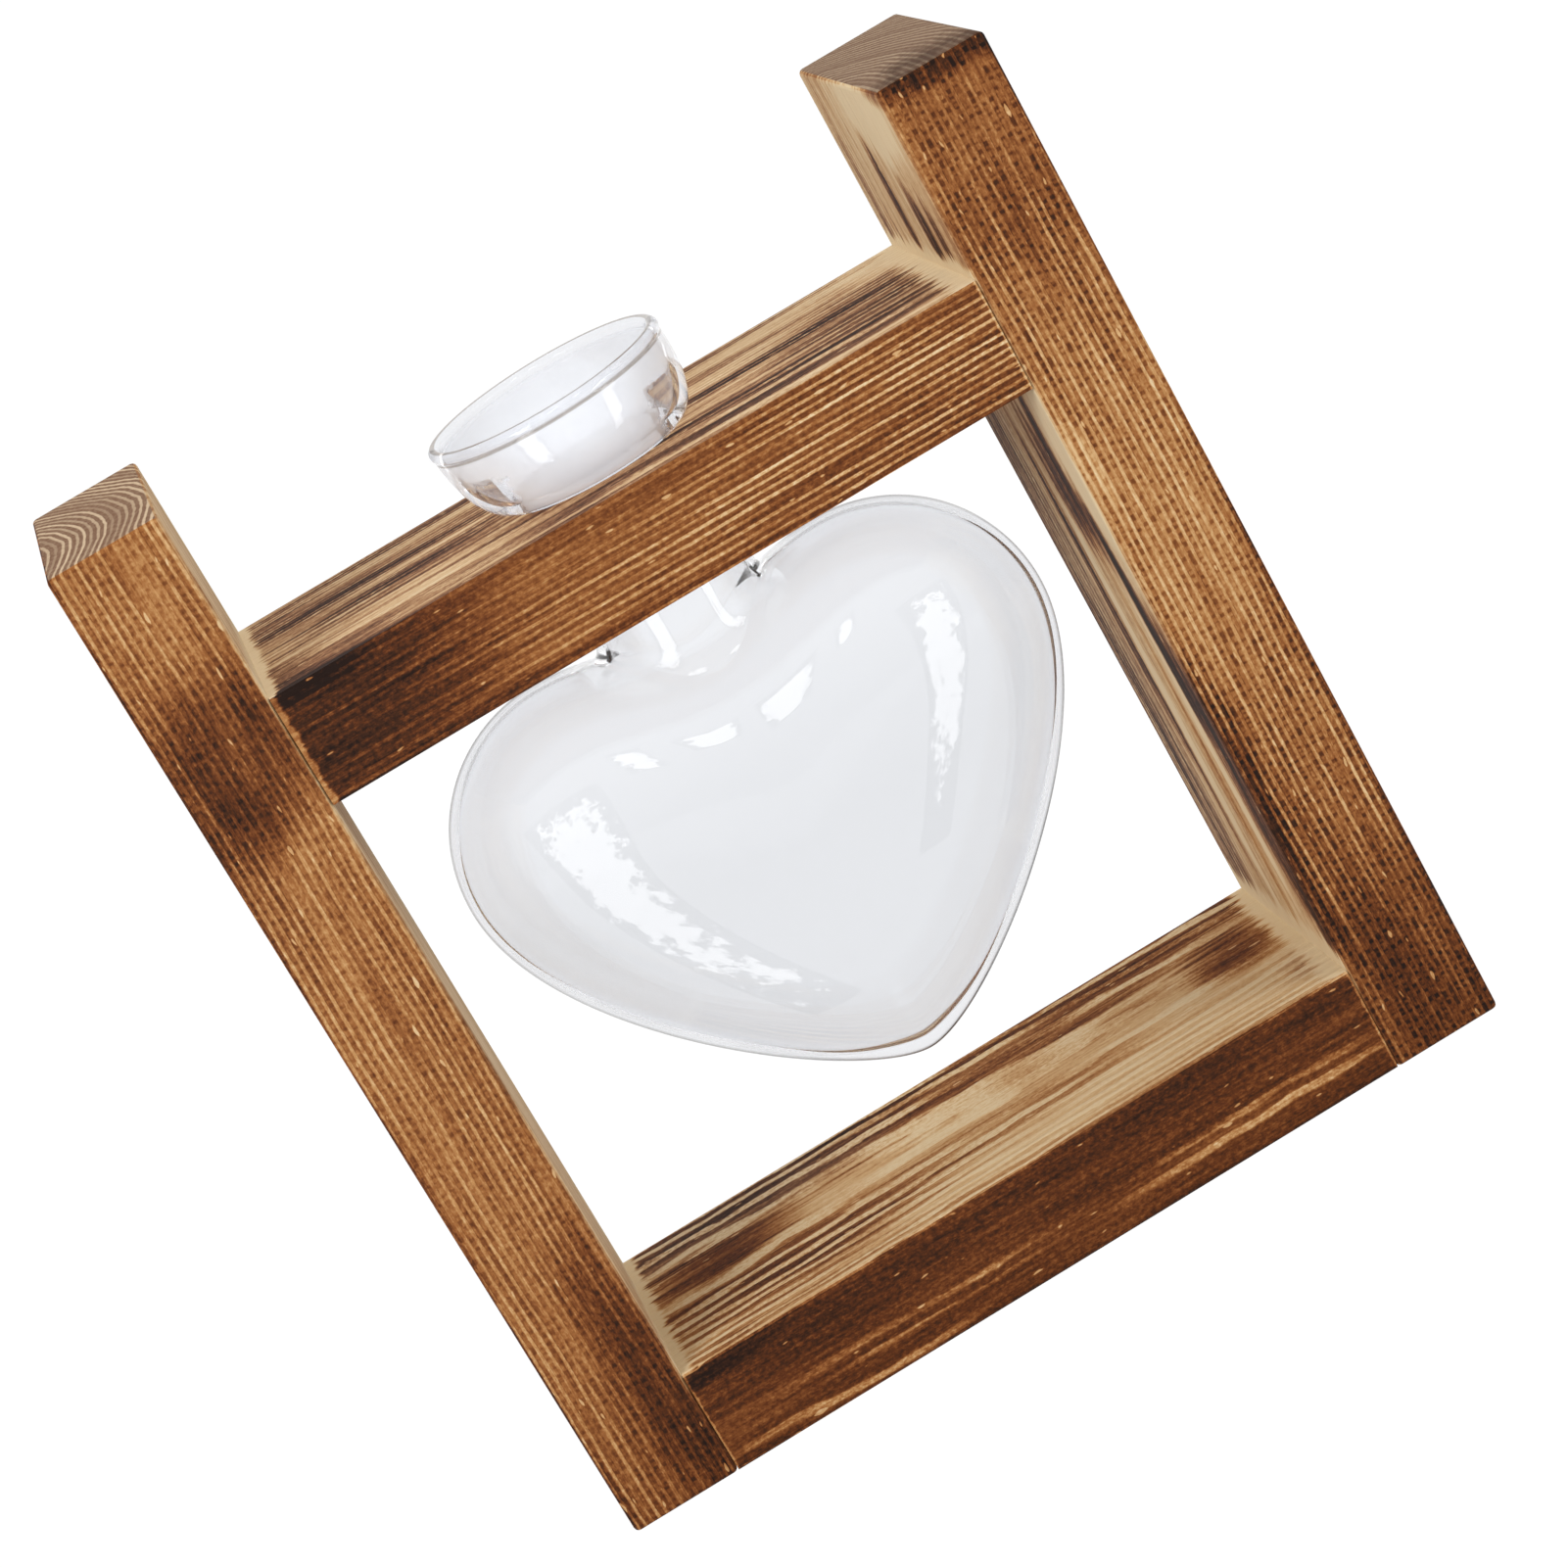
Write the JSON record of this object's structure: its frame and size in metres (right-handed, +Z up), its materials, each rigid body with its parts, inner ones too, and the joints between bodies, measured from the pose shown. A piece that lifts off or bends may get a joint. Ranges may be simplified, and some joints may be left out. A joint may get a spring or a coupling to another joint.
{
  "type": "heart vase in wooden frame",
  "caption": "Clear blown glass heart vase with a flared collar, hanging by its neck from the top rail of an open torched pine frame; holds cut stems or a water plant.",
  "frame": {"origin": "middle of the frame's footprint, on the surface that it stands on", "axes": "+Z up along the posts, +X to the right along the rails, +Y to the back, so the front faces -Y"},
  "size_m": [0.17, 0.06, 0.188],
  "materials": {
    "torched_pine": "torched and brushed, matt",
    "dowel_wood": "raw, matt",
    "clear_glass": "clear, fire polished"
  },
  "bodies": {
    "frame": {"left_post": "torched_pine", "right_post": "torched_pine", "top_rail": "torched_pine", "bottom_rail": "torched_pine", "bottom_left_dowel_front": "dowel_wood", "bottom_left_dowel_back": "dowel_wood", "bottom_right_dowel_front": "dowel_wood", "bottom_right_dowel_back": "dowel_wood", "top_left_dowel_front": "dowel_wood", "top_left_dowel_back": "dowel_wood", "top_right_dowel_front": "dowel_wood", "top_right_dowel_back": "dowel_wood"},
    "vase": {"heart_vase": "clear_glass"}
  },
  "joints": [
    {"name": "vase_slide", "type": "slide", "parent": "frame", "child": "vase", "axis": [0, 1, 0], "range_m": [0, 0.08]}
  ]
}
